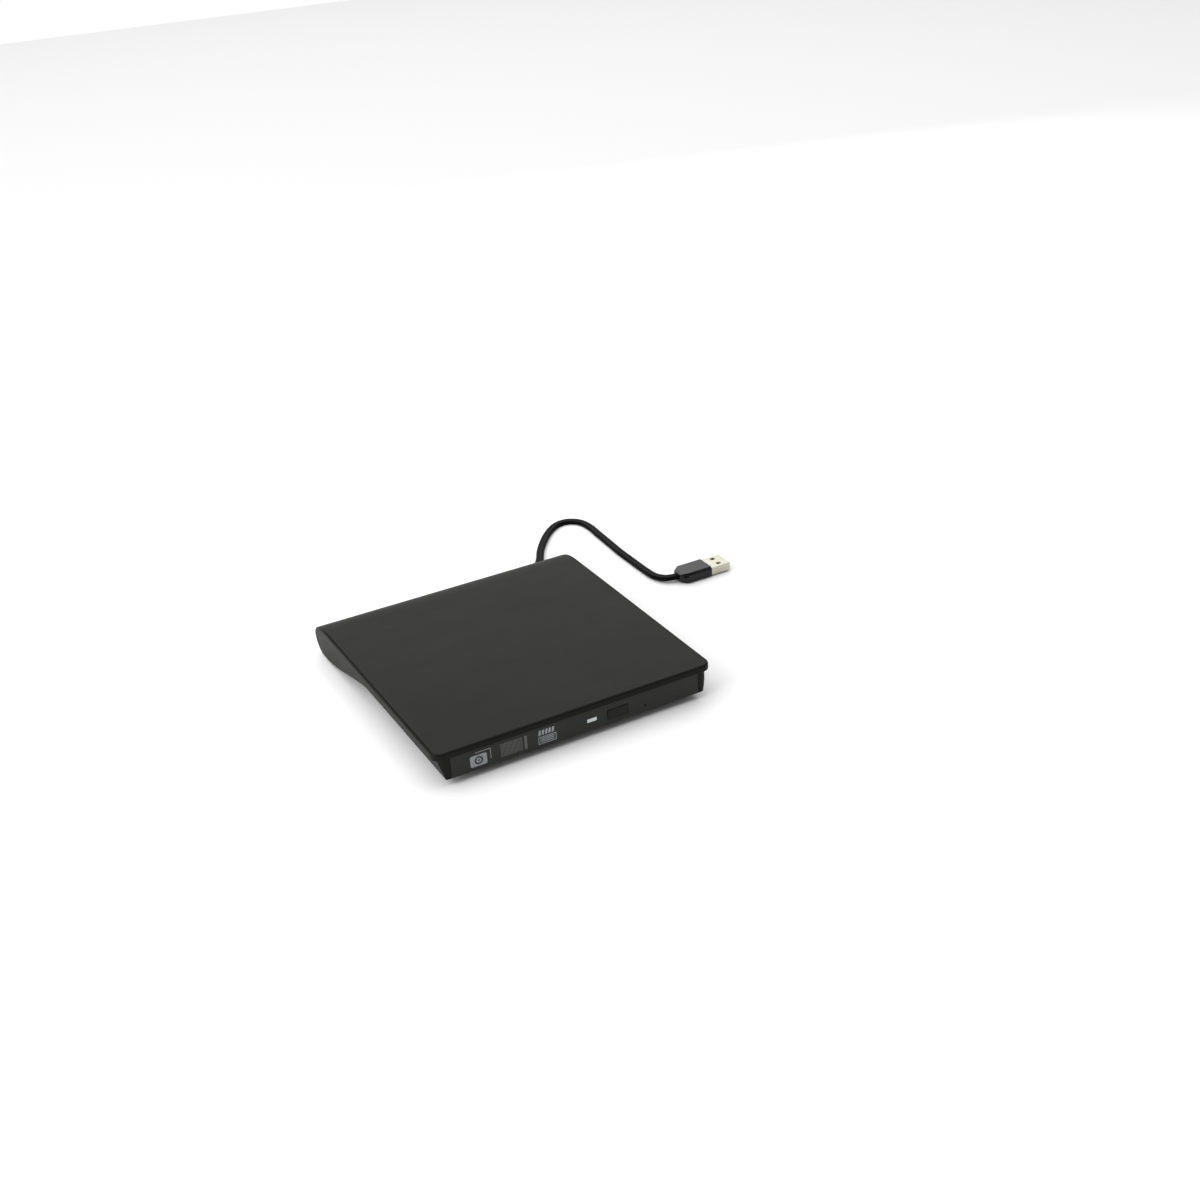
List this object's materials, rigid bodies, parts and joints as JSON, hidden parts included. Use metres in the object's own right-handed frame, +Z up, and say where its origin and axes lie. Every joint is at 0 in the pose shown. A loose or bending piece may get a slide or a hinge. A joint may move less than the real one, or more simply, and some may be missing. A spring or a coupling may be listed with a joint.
{
  "type": "external optical drive",
  "caption": "Slim wave-shaped external disc drive with a sliding tray, an eject button and a captive flat USB lead lying behind it.",
  "frame": {"origin": "middle of the case's footprint, on the surface that the four feet stand on, without the lead and plug", "axes": "+Z up, -Y towards the front bezel that the tray slides out of, +X to the right seen from the front"},
  "size_m": [0.224, 0.2153, 0.0182],
  "materials": {
    "cover_plastic": "fine-textured charcoal ABS",
    "case_plastic": "matte black ABS",
    "bezel_plastic": "satin black ABS",
    "button_plastic": "satin black ABS",
    "led_plastic": "clear light guide, frosted",
    "tray_plastic": "matte black ABS",
    "rubber": "soft black rubber",
    "foam": "grey-black foam",
    "steel": "zinc-plated sheet steel",
    "rod_steel": "ground steel",
    "screw_steel": "nickel-plated steel",
    "motor_metal": "turned metal",
    "sled_metal": "die-cast alloy",
    "magnet": "nickel-plated magnet",
    "acetal": "natural acetal",
    "board": "green solder mask",
    "chip": "black epoxy package",
    "flex": "amber polyimide",
    "copper": "enamelled copper wire",
    "lens_glass": "clear moulded lens",
    "wire": "insulated wire",
    "lead_rubber": "matte black cable jacket",
    "plug_plastic": "satin black moulding",
    "plug_metal": "nickel-plated steel shell",
    "plug_tongue": "black insulator",
    "contact_gold": "gold-plated contact"
  },
  "bodies": {
    "case": {"top_cover": "cover_plastic", "bottom_case": "case_plastic", "rubber_feet": "rubber", "case_screws": "screw_steel", "drive_screws": "screw_steel", "foam_pads": "foam", "bridge_board": "board", "bridge_chips": "chip", "sata_socket": "chip", "board_screws": "screw_steel", "lead_wires": "wire", "strain_relief": "lead_rubber", "usb_lead": "lead_rubber", "plug_body": "plug_plastic", "plug_shell": "plug_metal", "plug_tongue": "plug_tongue", "plug_contacts": "contact_gold", "drive_base": "steel", "drive_lid": "steel", "guide_left": "acetal", "guide_right": "acetal", "drive_board": "board", "drive_chips": "chip", "drive_connector": "chip", "base_flex": "flex", "ejector_spring": "screw_steel"},
    "ejector_slider": {"ejector": "acetal"},
    "left_rail": {"rail_left": "steel"},
    "right_rail": {"rail_right": "steel"},
    "tray_unit": {"tray": "tray_plastic", "front_bezel": "bezel_plastic", "led_lens": "led_plastic", "tray_board": "board", "eject_switch": "steel", "tray_shield": "steel", "tray_flex": "flex", "traverse_plate": "steel", "traverse_cover": "tray_plastic", "dampers": "rubber", "damper_screws": "screw_steel", "guide_rods": "rod_steel", "rod_clamps": "chip", "spindle_motor": "motor_metal", "stator_coils": "copper", "sled_motor": "steel", "latch_solenoid": "magnet"},
    "spindle": {"turntable": "motor_metal", "disc_pad": "rubber"},
    "claw_a": {"claw_1": "acetal"},
    "claw_b": {"claw_2": "acetal"},
    "claw_c": {"claw_3": "acetal"},
    "screw": {"lead_screw": "rod_steel"},
    "pickup": {"pickup_sled": "sled_metal", "pickup_cover": "flex", "lens_magnets": "magnet"},
    "lens": {"lens_holder": "chip", "objective_lens": "lens_glass"},
    "button": {"eject_button": "button_plastic"},
    "latch": {"latch_lever": "acetal"}
  },
  "joints": [
    {"name": "tray_slide", "type": "slide", "parent": "case", "child": "tray_unit", "axis": [0, -1, 0], "range_m": [0, 0.13]},
    {"name": "left_rail_slide", "type": "slide", "parent": "case", "child": "left_rail", "axis": [0, -1, 0], "range_m": [0, 0.065]},
    {"name": "right_rail_slide", "type": "slide", "parent": "case", "child": "right_rail", "axis": [0, -1, 0], "range_m": [0, 0.065]},
    {"name": "ejector_slide", "type": "slide", "parent": "case", "child": "ejector_slider", "axis": [0, -1, 0], "range_m": [0, 0.015]},
    {"name": "turntable_spin", "type": "hinge", "parent": "tray_unit", "child": "spindle", "pos_m": [0, -0.0119, 0.012], "axis": [0, 0, 1], "continuous": true},
    {"name": "claw_a_press", "type": "slide", "parent": "spindle", "child": "claw_a", "axis": [-0.7071, 0.7071, 0], "range_m": [0, 0.0005], "stiffness_N_per_m": 200},
    {"name": "claw_b_press", "type": "slide", "parent": "spindle", "child": "claw_b", "axis": [-0.2588, -0.9659, 0], "range_m": [0, 0.0005], "stiffness_N_per_m": 200},
    {"name": "claw_c_press", "type": "slide", "parent": "spindle", "child": "claw_c", "axis": [0.9659, 0.2588, 0], "range_m": [0, 0.0005], "stiffness_N_per_m": 200},
    {"name": "sled_slide", "type": "slide", "parent": "tray_unit", "child": "pickup", "axis": [0.7071, -0.7071, 0], "range_m": [0, 0.032]},
    {"name": "lead_screw_turn", "type": "hinge", "parent": "tray_unit", "child": "screw", "pos_m": [0.03917, -0.0293, 0.0099], "axis": [0.7071, -0.7071, 0], "range_deg": [0, 3850]},
    {"name": "lens_focus", "type": "slide", "parent": "pickup", "child": "lens", "axis": [0, 0, 1], "range_m": [-0.0004, 0.0004], "stiffness_N_per_m": 30},
    {"name": "eject_button_press", "type": "slide", "parent": "tray_unit", "child": "button", "axis": [0, 1, 0], "range_m": [0, 0.0008], "stiffness_N_per_m": 600},
    {"name": "latch_turn", "type": "hinge", "parent": "tray_unit", "child": "latch", "pos_m": [-0.049, -0.0579, 0.009], "axis": [0, 0, 1], "range_deg": [-14, 0]}
  ],
  "couplings": [
    {"joint": "left_rail_slide", "follows": "tray_slide", "ratio": 0.5},
    {"joint": "right_rail_slide", "follows": "tray_slide", "ratio": 0.5},
    {"joint": "ejector_slide", "follows": "tray_slide", "ratio": 0.115},
    {"joint": "lead_screw_turn", "follows": "sled_slide", "rad_per_m": 2094.4}
  ]
}
